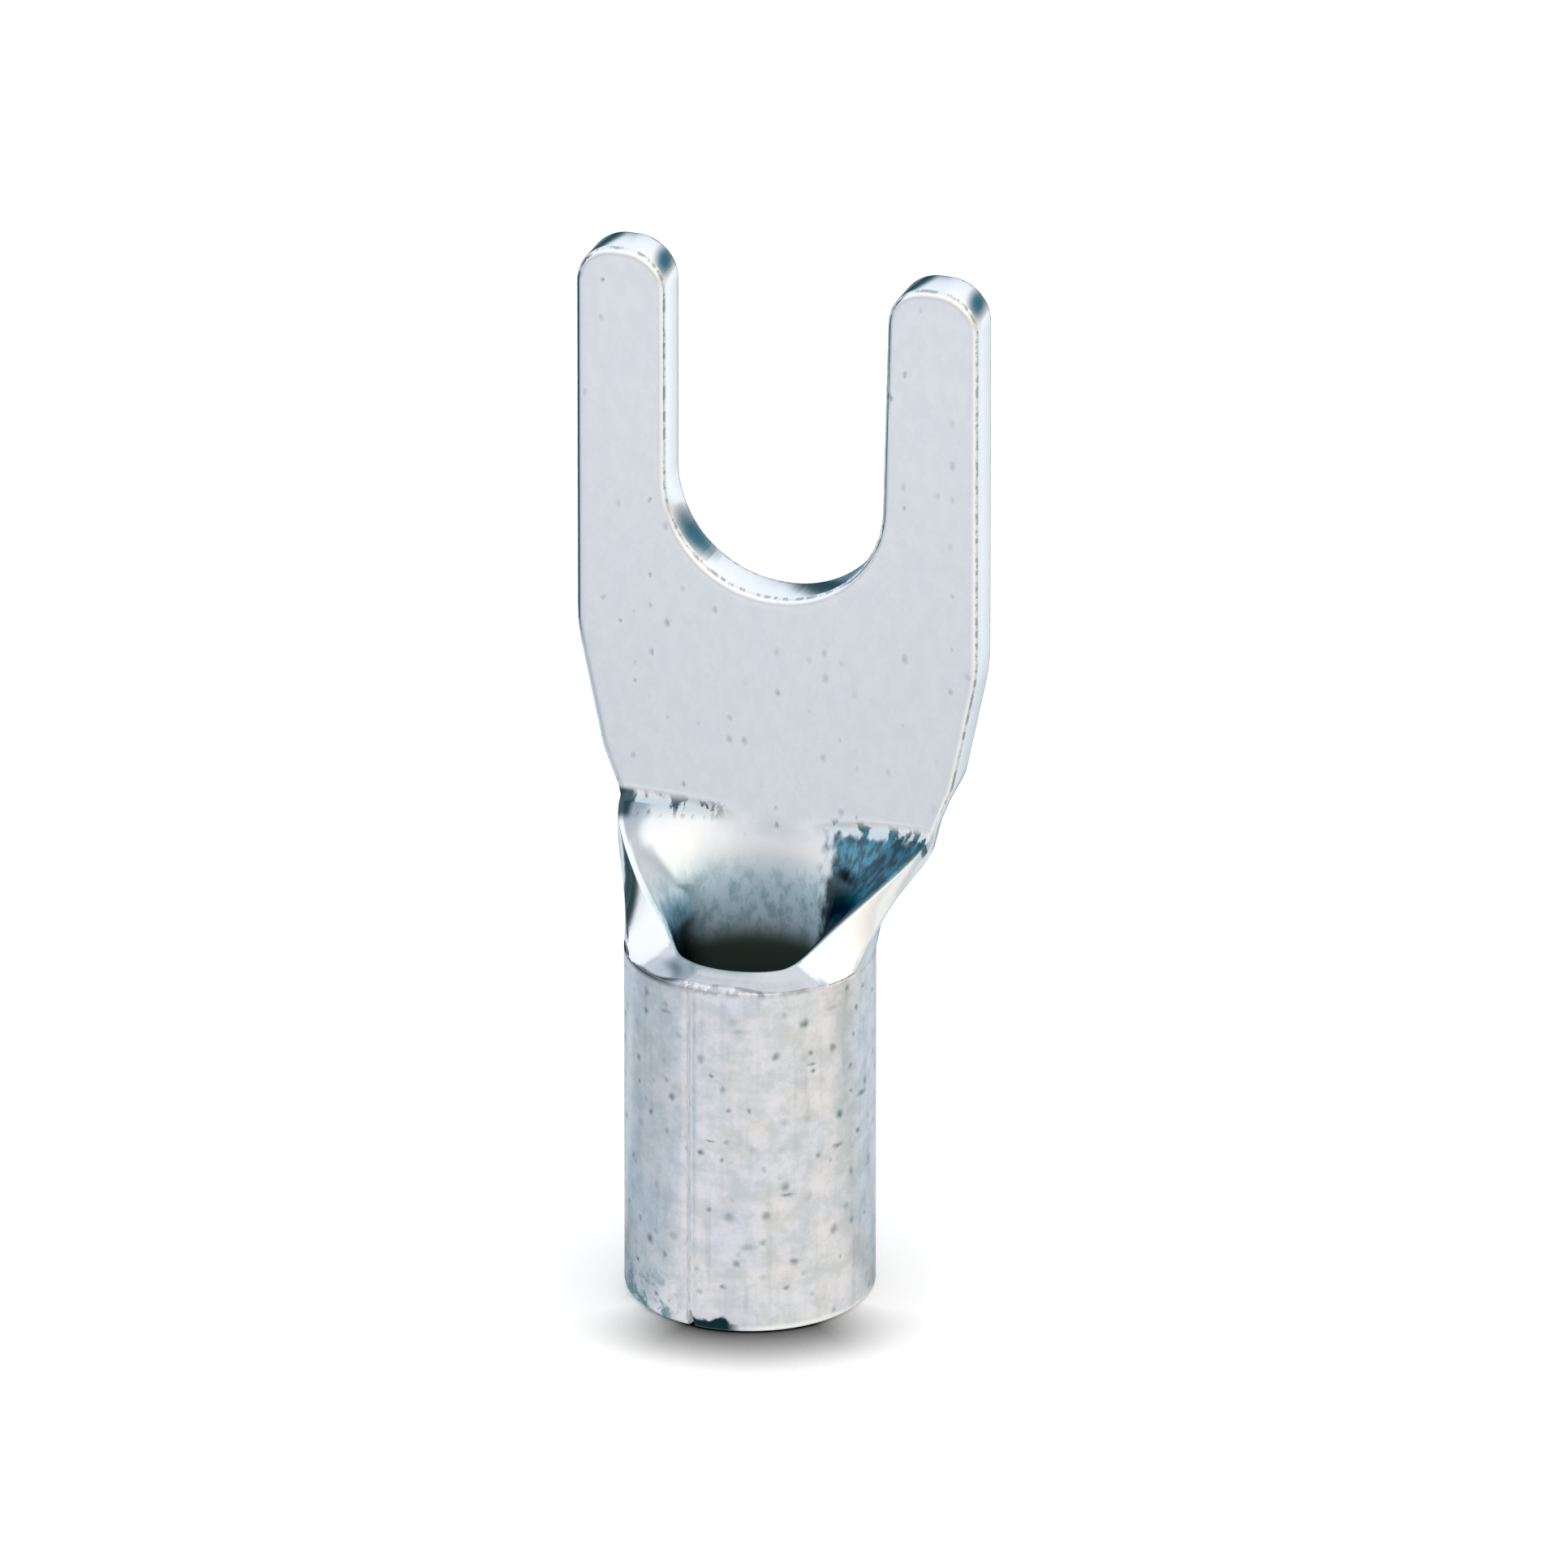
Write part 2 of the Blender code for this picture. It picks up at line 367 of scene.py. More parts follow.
# Under the rim the wings stay rolled up, and only what hangs on the neck follows its opening
along = add(front_rule, MATH, given["Across"], operation="ABSOLUTE")
side = add(front_rule, MATH, given["Across"], operation="SIGN")
shut = add(
    front_rule,
    RANGE,
    named={"Value": along, "From Min": given["Wing End"], "From Max": given["Neck Edge"]},
    interpolation_type="SMOOTHSTEP",
)
above_rim = add(front_rule, MATH, given["Height"], given["Rim Height"], operation="GREATER_THAN")
held = add(front_rule, MATH, shut, above_rim, operation="MAXIMUM")
risen = add(front_rule, MATH, given["Height"], given["Opening Start"], operation="SUBTRACT")
whole = add(front_rule, MATH, given["Opening Top"], given["Opening Start"], operation="SUBTRACT")
print("the neck opens over:", round(OPENING_TOP - OPENING_START, 2), "mm")

# %% Group: the arc at each height
climb = add(front_rule, MATH, risen, whole, operation="DIVIDE")
climb = add(front_rule, MATH, climb, 0.0, operation="MAXIMUM")
climb = add(front_rule, MATH, climb, 1.0, operation="MINIMUM")
opened = add(front_rule, MATH, climb, given["Opening Ease"], operation="POWER")
opened = add(front_rule, MATH, opened, held, operation="MULTIPLY")
closed = add(front_rule, MATH, 1.0, opened, operation="SUBTRACT")
closed = add(front_rule, MATH, closed, NEARLY_FLAT, operation="MAXIMUM")
radius = add(front_rule, MATH, given["Bore Radius"], closed, operation="DIVIDE")
turn = add(front_rule, MATH, along, radius, operation="DIVIDE")
sine = add(front_rule, MATH, turn, operation="SINE")
reach = add(front_rule, MATH, sine, radius, operation="MULTIPLY")
reach = add(front_rule, MATH, reach, side, operation="MULTIPLY")
# The arc's depth comes from half the turn, which keeps its digits where the arc is nearly flat
half_turn = add(front_rule, MATH, turn, 0.5, operation="MULTIPLY")
half_sine = add(front_rule, MATH, half_turn, operation="SINE")
sag = add(front_rule, MATH, half_sine, half_sine, operation="MULTIPLY")
sag = add(front_rule, MATH, sag, radius, operation="MULTIPLY")
sag = add(front_rule, MATH, sag, 2.0, operation="MULTIPLY")
depth = add(front_rule, MATH, given["Bore Radius"], sag, operation="SUBTRACT")
place = add(front_rule, "ShaderNodeCombineXYZ", reach, depth, given["Height"])
rule_output = front_rule.nodes.new("NodeGroupOutput")
front_rule.links.new(place, rule_output.inputs["Place"])
front_rule.links.new(held, rule_output.inputs["Held"])
print("nodes in the rule:", len(front_rule.nodes))

# %% [markdown]
# The second tree rolls the whole plate. It asks the rule for the point itself and for four
# neighbours a hair away. The two small steps between them lie in the sheet, so their cross product
# stands straight out of it, and the plate's thickness is laid off along that.

# %% Tree: its inputs
NECK_THINNING = 0.46
THIN_BAND = 1.2
THIN_FROM = 0.2
THIN_BY = 1.5
THIN_UNTIL = 0.35
THICK_AGAIN = 0.12

roll = bpy.data.node_groups.new("roll_blank", "GeometryNodeTree")
roll.interface.new_socket("Geometry", in_out="INPUT", socket_type="NodeSocketGeometry")
roll.interface.new_socket("Geometry", in_out="OUTPUT", socket_type="NodeSocketGeometry")
ROLL_SIZES = {
    **RULE_SIZES,
    "Thin Inside": NECK_WIDTH / 2 - THIN_BAND,
    "Thin Outside": NECK_WIDTH / 2,
    "Thinning": NECK_THINNING / SHEET,
    "Thin From": BARREL_LENGTH + THIN_FROM,
    "Thin By": BARREL_LENGTH + THIN_BY,
    "Thin Until": HEEL_HEIGHT - THIN_UNTIL,
    "Thick Again": HEEL_HEIGHT + THICK_AGAIN,
}
for name in ROLL_SIZES:
    roll.interface.new_socket(name, in_out="INPUT", socket_type="NodeSocketFloat")
roll.interface.new_socket("Material", in_out="INPUT", socket_type="NodeSocketMaterial")
print("inputs of the roll:", len(roll.interface.items_tree))

# %% Tree: straight out of the sheet
SLOPE_STEP = 0.02
VECTOR = "ShaderNodeVectorMath"
given = roll.nodes.new("NodeGroupInput").outputs
position = add(roll, "GeometryNodeInputPosition")
flat = add(roll, VECTOR, position, named={"Scale": 1 / MM}, operation="SCALE")
apart = roll.nodes.new("ShaderNodeSeparateXYZ")
roll.links.new(flat, apart.inputs[0])
across, height, depth = apart.outputs


def front_at(step_across, step_height, output=0):
    """The rule's answer for a neighbour of each point."""
    sizes = {name: given[name] for name in RULE_SIZES}
    sizes["Across"] = add(roll, MATH, across, step_across, operation="ADD")
    sizes["Height"] = add(roll, MATH, height, step_height, operation="ADD")
    return add(roll, "GeometryNodeGroup", named=sizes, output=output, node_tree=front_rule)


right = front_at(SLOPE_STEP, 0.0)
left = front_at(-SLOPE_STEP, 0.0)
over = front_at(0.0, SLOPE_STEP)
under = front_at(0.0, -SLOPE_STEP)
along_across = add(roll, VECTOR, right, left, operation="SUBTRACT")
along_height = add(roll, VECTOR, over, under, operation="SUBTRACT")
outward = add(roll, VECTOR, along_across, along_height, operation="CROSS_PRODUCT")
outward = add(roll, VECTOR, outward, operation="NORMALIZE")

print("nodes so far:", len(roll.nodes))

# %% [markdown]
# The press also squeezes the sheet: along the two edges of the neck it is drawn out to less than half
# its thickness, and it is thick again at the palm's heel. Three masks say where, by height and by
# distance from the middle, and the rule's second answer keeps the barrel's wall as it is.

# %% Tree: thinner edges in the neck
held = front_at(0.0, 0.0, output="Held")
growing = add(
    roll,
    RANGE,
    named={"Value": height, "From Min": given["Thin From"], "From Max": given["Thin By"]},
    interpolation_type="SMOOTHSTEP",
)
fading = add(
    roll,
    RANGE,
    named={"Value": height, "From Min": given["Thick Again"], "From Max": given["Thin Until"]},
    interpolation_type="SMOOTHSTEP",
)
from_middle = add(roll, MATH, across, operation="ABSOLUTE")
near_edge = add(
    roll,
    RANGE,
    named={
        "Value": from_middle,
        "From Min": given["Thin Inside"],
        "From Max": given["Thin Outside"],
    },
    interpolation_type="SMOOTHSTEP",
)
drawn = add(roll, MATH, growing, fading, operation="MULTIPLY")
drawn = add(roll, MATH, drawn, near_edge, operation="MULTIPLY")
drawn = add(roll, MATH, drawn, held, operation="MULTIPLY")
lost = add(roll, MATH, drawn, given["Thinning"], operation="MULTIPLY")
kept = add(roll, MATH, 1.0, lost, operation="SUBTRACT")
thick = add(roll, MATH, depth, kept, operation="MULTIPLY")
print("thinnest sheet:", round(SHEET - NECK_THINNING, 2), "mm")

# %% [markdown]
# The tree ends by moving each point. It also keeps the point's place on the flat blank as an
# attribute, in millimetres, so that the finish can follow the rolled sheet.

# %% Tree: move the points and keep their old place
offset = add(roll, VECTOR, outward, named={"Scale": thick}, operation="SCALE")
rolled = add(roll, VECTOR, front_at(0.0, 0.0), offset, operation="ADD")
rolled = add(roll, VECTOR, rolled, named={"Scale": MM}, operation="SCALE")
remembered = add(
    roll,
    "GeometryNodeStoreNamedAttribute",
    named={"Geometry": given["Geometry"], "Name": "blank_place", "Value": flat},
    data_type="FLOAT_VECTOR",
    domain="POINT",
)
shaped = add(roll, "GeometryNodeSetPosition", named={"Geometry": remembered, "Position": rolled})
real = add(roll, "GeometryNodeRealizeInstances", shaped)
painted = add(
    roll, "GeometryNodeSetMaterial", named={"Geometry": real, "Material": given["Material"]}
)
roll_output = roll.nodes.new("NodeGroupOutput")
roll.links.new(painted, roll_output.inputs["Geometry"])
print("nodes in the roll:", len(roll.nodes))

# %% [markdown]
# ## Electro-tinned copper
#
# The metal is copper, but what the eye meets is a few microns of tin, plated on after the pressing. It
# is a pale, faintly violet grey mirror that is a little soft, and duller where the press worked it.
# Tin is a metal, so metallic is 1 and the default IOR stays. The marks could be painted on a picture,
# but then they would stop at its pixels. We draw them with noise instead, on the flat blank's own
# coordinates, so that they follow the sheet round the barrel.

# %% Coordinates on the sheet
FACE_FROM = 0.1
FACE_FULL = 0.03
INNER_SIDE = 0.4
OUTER_SIDE = 0.6
RIM_FADE = 0.1
OUTER_STRETCH = ((BORE_RADIUS + SHEET) / BORE_RADIUS, 1, 0)
MIX = "ShaderNodeMix"
COLOURS = {"data_type": "RGBA", "output": "Result"}

tin = bpy.data.materials.new("electro_tinned_copper")
tin.use_nodes = True
shade = tin.node_tree
shader = shade.nodes["Principled BSDF"]


def where(*parts):
    """A mask, full where all its parts are.

    A part is a mask, a share, or a smooth step: a value, where it starts and where it is full.
    """
    mask = None
    for part in parts:
        if isinstance(part, tuple):
            part = add(shade, RANGE, *part, interpolation_type="SMOOTHSTEP")
        mask = part if mask is None else add(shade, MATH, mask, part, operation="MULTIPLY")
    return mask


on_blank = add(shade, "ShaderNodeAttribute", output="Vector", attribute_name="blank_place")
axes = shade.nodes.new("ShaderNodeSeparateXYZ")
shade.links.new(on_blank, axes.inputs[0])
across, height, depth = axes.outputs
unrolled = add(shade, VECTOR, on_blank, OUTER_STRETCH, operation="MULTIPLY")
outside = where((depth, -INNER_SIDE * SHEET, -OUTER_SIDE * SHEET))
inside = where((depth, -OUTER_SIDE * SHEET, -INNER_SIDE * SHEET))
inner_skin = where((depth, -FACE_FROM, -FACE_FULL))
outer_skin = where((depth, FACE_FROM - SHEET, FACE_FULL - SHEET))
barrel_skin = where(outside, (height, BARREL_LENGTH + RIM_FADE, BARREL_LENGTH - RIM_FADE))
print("the outside is stretched across by:", round(OUTER_STRETCH[0], 2))

# %% [markdown]
# The first marks come from what happened to the sheet. Pits: the barrel was pressed round a pin by a
# rough die, and the tin that covers its small dents looks darker in them. They lie about half a
# millimetre apart and are a tenth to a quarter wide. They could be placed one by one, but a cell
# pattern on the unrolled sheet does it, one to a cell, and the colour of each cell decides whether it
# has one, how dark it is and how large. A noise moves their edges, so that no two are alike.

# %% Pits
PIT_SPACING = 0.45
PIT_RADIUS = 0.13
PIT_SHARE = 0.7
PALM_PIT_SHARE = 0.2
FAINTEST_PIT = 0.13
SMALLEST_PIT = 0.44
WAVER = 0.09
WAVES_PER_MM = 7.0
MIDDLE = (0.5, 0.5, 0.5)


def dents(place, spacing, radius, share):
    """A mask of small round marks, one in some of the cells."""
    cells = shade.nodes.new("ShaderNodeTexVoronoi")
    cells.voronoi_dimensions = "2D"
    cells.inputs["Scale"].default_value = 1 / spacing
    shade.links.new(place, cells.inputs["Vector"])
    chance = shade.nodes.new("ShaderNodeSeparateColor")
    shade.links.new(cells.outputs["Color"], chance.inputs[0])
    picked = add(shade, MATH, chance.outputs["Red"], share, operation="LESS_THAN")
    dark = add(shade, RANGE, named={"Value": chance.outputs["Green"], "To Min": FAINTEST_PIT})
    size = add(shade, RANGE, named={"Value": chance.outputs["Blue"], "To Min": SMALLEST_PIT})
    reach = add(shade, MATH, cells.outputs["Distance"], size, operation="DIVIDE")
    return where(picked, dark, (reach, radius / spacing, 0.0))


waver = add(
    shade,
    "ShaderNodeTexNoise",
    named={"Vector": unrolled, "Scale": WAVES_PER_MM, "Detail": 2.0},
    output="Color",
)
waver = add(shade, VECTOR, waver, MIDDLE, operation="SUBTRACT")
waver = add(shade, VECTOR, waver, named={"Scale": WAVER}, operation="SCALE")
uneven = add(shade, VECTOR, unrolled, waver, operation="ADD")
pit_share = add(
    shade, RANGE, named={"Value": barrel_skin, "To Min": PALM_PIT_SHARE, "To Max": PIT_SHARE}
)
pits = dents(uneven, PIT_SPACING, PIT_RADIUS, pit_share)
print("pits on the barrel, about:", round(PIT_SHARE * blank_width * BARREL_LENGTH / PIT_SPACING**2))

# %% [markdown]
# Scratches: the finished parts are tumbled and poured, and their corners nick each other. A scratch is
# a dent on a sheet that was squeezed in one direction, so the same function draws it, three times as
# long as it is wide and a little aslant. Both kinds of mark lie on the two faces, never on the edge.

# %% Scratches
SCRATCH_SPACING = 1.5
SCRATCH_SLIMNESS = 3.0
SCRATCH_RADIUS = 0.09
SCRATCH_SHARE = 0.3
SCRATCH_TURN = math.radians(24)

slanted = add(
    shade,
    "ShaderNodeMapping",
    named={"Vector": uneven, "Rotation": (0, 0, SCRATCH_TURN), "Scale": (1, SCRATCH_SLIMNESS, 1)},
)
scratches = dents(slanted, SCRATCH_SPACING, SCRATCH_RADIUS * SCRATCH_SLIMNESS, SCRATCH_SHARE)
scratches = where(scratches, barrel_skin)
marks = add(shade, MATH, pits, scratches, operation="MAXIMUM")
on_face = add(shade, MATH, inner_skin, outer_skin, operation="ADD")
marks = where(marks, on_face)
print("length of a scratch:", round(2 * SCRATCH_RADIUS * SCRATCH_SLIMNESS, 2), "mm")

# %% [markdown]
# Five noises give the unevenness that plated metal has at every size, from a grain of a fifth of a
# millimetre to clouds more than a millimetre wide. The crystals of real tin are a few microns across,
# too fine to show, so the grain is as coarse as it has to be to be seen. A noise lies around one half:
# a mask that steps from 0.47 to 0.52 cuts it into specks with a crisp edge, and a wider step leaves it
# cloudy. The streaks are a noise stretched along the barrel, as the pin drew them.

# %% Patterns in the tin
# Scale is how often a pattern repeats in a millimetre
PATTERNS = {
    "grain": {"Scale": 5.5, "Detail": 3.0, "Roughness": 0.6},
    "blobs": {"Scale": 3.2, "Detail": 2.0},
    "mottle": {"Scale": 2.6, "Detail": 4.0, "Roughness": 0.7},
    "clouds": {"Scale": 0.8, "Detail": 3.0, "Roughness": 0.55},
    "streaks": {"Scale": 1.0, "Detail": 3.0},
}
STREAK_STRETCH = (5.0, 0.35, 1)

streaky = add(shade, VECTOR, unrolled, STREAK_STRETCH, operation="MULTIPLY")
patterns = {}
for name, sizes in PATTERNS.items():
    sizes["Vector"] = streaky if name == "streaks" else unrolled
    patterns[name] = add(shade, "ShaderNodeTexNoise", named=sizes, output="Fac")
    print(name, "repeats about every", round(1 / sizes["Scale"], 2), "mm")
grain, blobs, mottle, clouds, streaks = patterns.values()

# %% [markdown]
# The press leaves its own lines. Where the palm's die ended, a row of dark specks crosses the neck on
# both sides of the middle, and one spot marks the left corner of the heel. Each pair below is a step
# of a mask: where it starts and where it is full.

# %% Press line
BEND_LINE = OPENING_TOP - 0.05
BEND_LINE_STEP = (0.2, 0.0)
ASIDE_STEP = (0.7, 1.2)
HEEL_SPOT_HEIGHT = (0.2, 0.1)
HEEL_SPOT_SIDE = (-2.32, -2.45)
BEND_BLOBS = (0.47, 0.52)
BEND_GRAIN = (0.44, 0.5)

from_line = add(shade, MATH, height, BEND_LINE, operation="SUBTRACT")
from_line = add(shade, MATH, from_line, operation="ABSOLUTE")
aside = add(shade, MATH, across, operation="ABSOLUTE")
bend_band = where((from_line, *BEND_LINE_STEP), (aside, *ASIDE_STEP), inside)
bend_specks = where(bend_band, (blobs, *BEND_BLOBS), (grain, *BEND_GRAIN))
heel_spot = where((from_line, *HEEL_SPOT_HEIGHT), (across, *HEEL_SPOT_SIDE))
bend_marks = add(shade, MATH, bend_specks, heel_spot, operation="MAXIMUM")
print("press line at height:", round(BEND_LINE, 2), "mm")

# %% [markdown]
# Along the punched edges a broken dark line is painted shade, the dark that an edge mirrors at a
# grazing angle, along the front of the edge and along its back, and the barrel's rim has one too,
# unbroken to the left of the seam.

# %% Painted shade along the edges
FAINT_LINE = 0.12
STRONG_LINE = 0.55
EDGE_GRAIN = (0.46, 0.56)
EDGE_FRONT = [(-0.03, -0.06), (-0.12, -0.09)]
EDGE_BACK = [(-0.66, -0.7), (-0.78, -0.74)]
LEFT_FLANK = [(-2.2, -2.5), (-3.62, -3.3)]
RIM_DEPTH = (-0.64, -0.7)
RIM_BELOW = (BARREL_LENGTH - 0.2, BARREL_LENGTH - 0.08)
RIM_ABOVE = (BARREL_LENGTH + 0.05, BARREL_LENGTH)

edge_shade_pattern = where((grain, *EDGE_GRAIN))
edge_shade_pattern = add(
    shade, RANGE, named={"Value": edge_shade_pattern, "To Min": FAINT_LINE, "To Max": STRONG_LINE}
)
# Painted shade: a dark line at the front and at the back of each punched edge
front_edge_shade = where(*[(depth, *step) for step in EDGE_FRONT])
back_edge_shade = where(*[(depth, *step) for step in EDGE_BACK])
edge_shade_line = add(shade, MATH, front_edge_shade, back_edge_shade, operation="ADD")
edge_shade_line = where(edge_shade_line, edge_shade_pattern, (height, OPENING_TOP, HEEL_HEIGHT))

left_of_seam = where(*[(across, *step) for step in LEFT_FLANK])
rim_shade_pattern = add(shade, MATH, left_of_seam, edge_shade_pattern, operation="MAXIMUM")
# Painted shade along the rim's outer edge
rim_shade_line = where((depth, *RIM_DEPTH), (height, *RIM_BELOW), (height, *RIM_ABOVE), rim_shade_pattern)
print("nodes in the finish so far:", len(shade.nodes))

# %% [markdown]
# At the wire end, to the right of the seam, a dark patch along the rim is painted shade, to the
# left of it a teal stain has crept up, and farther round to the right a bright line along the rim
# is a painted highlight. A noise added to the height makes the shaded patch's upper edge ragged.

# %% Painted shade, stain and painted highlight at the wire end
FOOT_SHADE_HEIGHT = 0.17
FOOT_SHADE_WIDTH = 0.42
RAGGEDNESS = 0.5
FOOT_SHADE_SIDE = wing_end(1) - FOOT_SHADE_WIDTH
FOOT_SHADE_TOP = FOOT_SHADE_HEIGHT + RAGGEDNESS / 2
FOOT_SHADE_SIDE_STEP = (FOOT_SHADE_SIDE - 0.12, FOOT_SHADE_SIDE + 0.05)
FOOT_SHADE_TOP_STEP = (FOOT_SHADE_TOP + 0.06, FOOT_SHADE_TOP - 0.03)
STAIN_HEIGHT = (1.1, 0.1)
STAIN_BLOBS = (0.44, 0.56)
STAIN_GRAIN = (0.42, 0.54)
GLINT_HEIGHT = (0.16, 0.07)
GLINT_SIDES = [(3.7, 3.2), (-0.5, 0.5)]

ragged = add(shade, MATH, blobs, RAGGEDNESS, height, operation="MULTIPLY_ADD")
# Painted shade: a dark patch along the foot, right of the seam
foot_shade = where((across, *FOOT_SHADE_SIDE_STEP), (ragged, *FOOT_SHADE_TOP_STEP), outside)
blotches = where((blobs, *STAIN_BLOBS), (grain, *STAIN_GRAIN))
stain = where(left_of_seam, (height, *STAIN_HEIGHT), blotches, outside)
# Painted highlight: a bright line along the foot, farther round to the right
foot_glint = where(barrel_skin, (height, *GLINT_HEIGHT), *[(across, *step) for step in GLINT_SIDES])
print("the chip starts", round(FOOT_SHADE_SIDE, 2), "mm round from the middle of the back")

# %% [markdown]
# Inside the neck the tin is painted with shade and a dark reflection. The right wall is a painted
# dark teal reflection, with painted shade darker toward the bore, the floor of the neck is painted
# shade, a dull bluish grey that deepens toward the bore and is mottled lower down, and the bore
# itself is painted nearly black, the shade in the hollow. Four masks say where each begins.

# %% Masks inside the neck
WALL_SIDE = 0.85
WALL_SIDE_FADE = 0.35
WALL_SIDE_WAVER = 0.8
WALL_TOP = OPENING_TOP - 0.15
WALL_TOP_FADE = 0.12
TROUGH_STEP = (NECK_TOP, BARREL_LENGTH + 0.25)
BORE_STEP = (BARREL_LENGTH - 0.1, BARREL_LENGTH - 0.65)
OPENED_STEP = (OPENING_TOP, OPENING_TOP - 0.5)

# The noise lies around one half, so half of its strength comes off again
wall_side = WALL_SIDE + WALL_SIDE_WAVER / 2
wall_top = WALL_TOP - RAGGEDNESS / 2
wavy_side = add(shade, MATH, blobs, WALL_SIDE_WAVER, across, operation="MULTIPLY_ADD")
wavy_top = add(shade, MATH, blobs, -RAGGEDNESS, height, operation="MULTIPLY_ADD")
# Where the right wall's painted reflection and shade lie
wall = where(
    inner_skin,
    (wavy_side, wall_side, wall_side + WALL_SIDE_FADE),
    (wavy_top, wall_top + WALL_TOP_FADE, wall_top),
)
# Painted shade on the floor of the neck and, below it, in the bore
trough_shade = where(inner_skin, (height, *TROUGH_STEP))
bore = where(inner_skin, (height, *BORE_STEP))
opened_face = where(inner_skin, (height, *OPENED_STEP))
print("the teal wall ends at height:", round(WALL_TOP, 2), "mm")

# %% [markdown]
# The colours are laid in coats, as a painter would: first the tin itself, clouded on the barrel and
# brighter where an edge or the opened neck was rubbed, and then one mark after another, each with its
# mask and how strongly it covers. A metal's colour tints what it mirrors, so even the palest coat
# stays below white.

# %% The tin
TIN = colour("#D8DCE3")
BRIGHT_TIN = colour("#F0F2F5")
WARM_TIN = colour("#EBE6E1")
COOL_TIN = colour("#DEE3EB")
GREY_TIN = colour("#B4BBC2")
LILAC_TIN = colour("#F0EAF4")
DARK_TIN = colour("#5C7076")
PALM_CLOUDS = 0.15
BARREL_CLOUDS = 0.8
PALM_MARKS = 0.4
BARREL_MARKS = 0.85
CLOUD_STEP = (0.38, 0.62)
MOTTLE_STEP = (0.35, 0.65)
MOTTLE_SHARE = 0.5
STREAK_STEP = (0.5, 0.72)
STREAK_SHARE = 0.14
CUT_EDGE = [(-0.005, -0.03), (-0.8, -0.76)]


def coat(below, tint, *parts):
    """Lays a tint over what is below, as far as the mask of these parts lets it."""
    return add(shade, MIX, named={"Factor": where(*parts), "A": below, "B": tint}, **COLOURS)


clouded = coat(COOL_TIN, WARM_TIN, (clouds, *CLOUD_STEP))
mottled = coat(GREY_TIN, LILAC_TIN, (mottle, *MOTTLE_STEP))
clouded = coat(clouded, mottled, MOTTLE_SHARE)
cut_edge = where(*[(depth, *step) for step in CUT_EDGE])
bright = add(shade, MATH, cut_edge, opened_face, operation="MAXIMUM")
cloud_share = add(
    shade, RANGE, named={"Value": barrel_skin, "To Min": PALM_CLOUDS, "To Max": BARREL_CLOUDS}
)
mark_share = add(
    shade, RANGE, named={"Value": barrel_skin, "To Min": PALM_MARKS, "To Max": BARREL_MARKS}
)
tone = coat(coat(TIN, BRIGHT_TIN, bright), clouded, cloud_share)
tone = coat(tone, DARK_TIN, (streaks, *STREAK_STEP), barrel_skin, STREAK_SHARE)
tone = coat(tone, DARK_TIN, marks, mark_share)
print("nodes in the tin so far:", len(shade.nodes))

# %% [markdown]
# The coats that follow are a list, because a list is easy to reorder: a coat hides what is before it.
# The rim's painted shade line, the painted highlight at the foot, the stain and the painted shade
# beside the seam come last, on top of the rest.

# %% Coats for the marks
# Each coat is a colour, its mask and how strongly it covers
# Dark specks; the same dark is the painted shade along the edges and the rim
SPECK_AND_EDGE_SHADE = colour("#2E4850")
STAIN = colour("#4E8A96")
BEND_TIN = colour("#A9BAC2")
TROUGH_SHADE = colour("#A2CEE2")
WALL_REFLECTED_TEAL = colour("#12414E")
PALE_REFLECTED_TEAL = colour("#358097")
WALL_SHADE_DARK = colour("#12231E")
PAINTED_GLINT = colour("#FAFBFC")
FOOT_SHADE_DARK = colour("#143034")
BORE_SHADE = colour("#41524A")
TEAL_GRAIN = (0.4, 0.62)
WALL_LIGHTENS = (NECK_TOP - 0.5, NECK_TOP)
TROUGH_MOTTLE = (0.42, 0.64)

# The right wall's painted teal reflection, with painted shade darker toward the bore
wall_reflected_teal = coat(WALL_REFLECTED_TEAL, PALE_REFLECTED_TEAL, (grain, *TEAL_GRAIN))
wall_reflection_and_shade = coat(WALL_SHADE_DARK, wall_reflected_teal, (height, *WALL_LIGHTENS))
COATS = [
    (BEND_TIN, bend_band, 0.55),
    (SPECK_AND_EDGE_SHADE, bend_marks, 0.95),
    # Painted shade along the punched edges
    (SPECK_AND_EDGE_SHADE, edge_shade_line, 1.0),
    # Painted shade on the floor of the neck, then a mottled stain over it
    (TROUGH_SHADE, trough_shade, 0.6),
    (STAIN, where(trough_shade, (mottle, *TROUGH_MOTTLE)), 0.5),
    # The right wall's painted reflection and shade
    (wall_reflection_and_shade, wall, 0.92),
    # Painted shade along the rim
    (SPECK_AND_EDGE_SHADE, rim_shade_line, 0.8),
    # A painted highlight along the foot
    (PAINTED_GLINT, foot_glint, 0.9),
    (STAIN, stain, 0.85),
    # Painted shade along the foot beside the seam
    (FOOT_SHADE_DARK, foot_shade, 1.0),
    # Painted shade in the bore
    (BORE_SHADE, bore, 1.0),
]
for tint, mask, cover in COATS:
    tone = coat(tone, tint, mask, cover)
shade.links.new(tone, shader.inputs["Base Color"])
print("coats over the tin:", len(COATS))

# %% [markdown]
# The palm was pressed by a polished die, so it mirrors softly. The barrel is rougher, and the floor of
# the neck, which no tool touched, is nearly matt: there the tin is a little less of a mirror too. The
# grain and the pits give the light something to catch on through the bump, a hundredth of a millimetre
# deep. The edge tint is what the metal mirrors at a grazing angle.

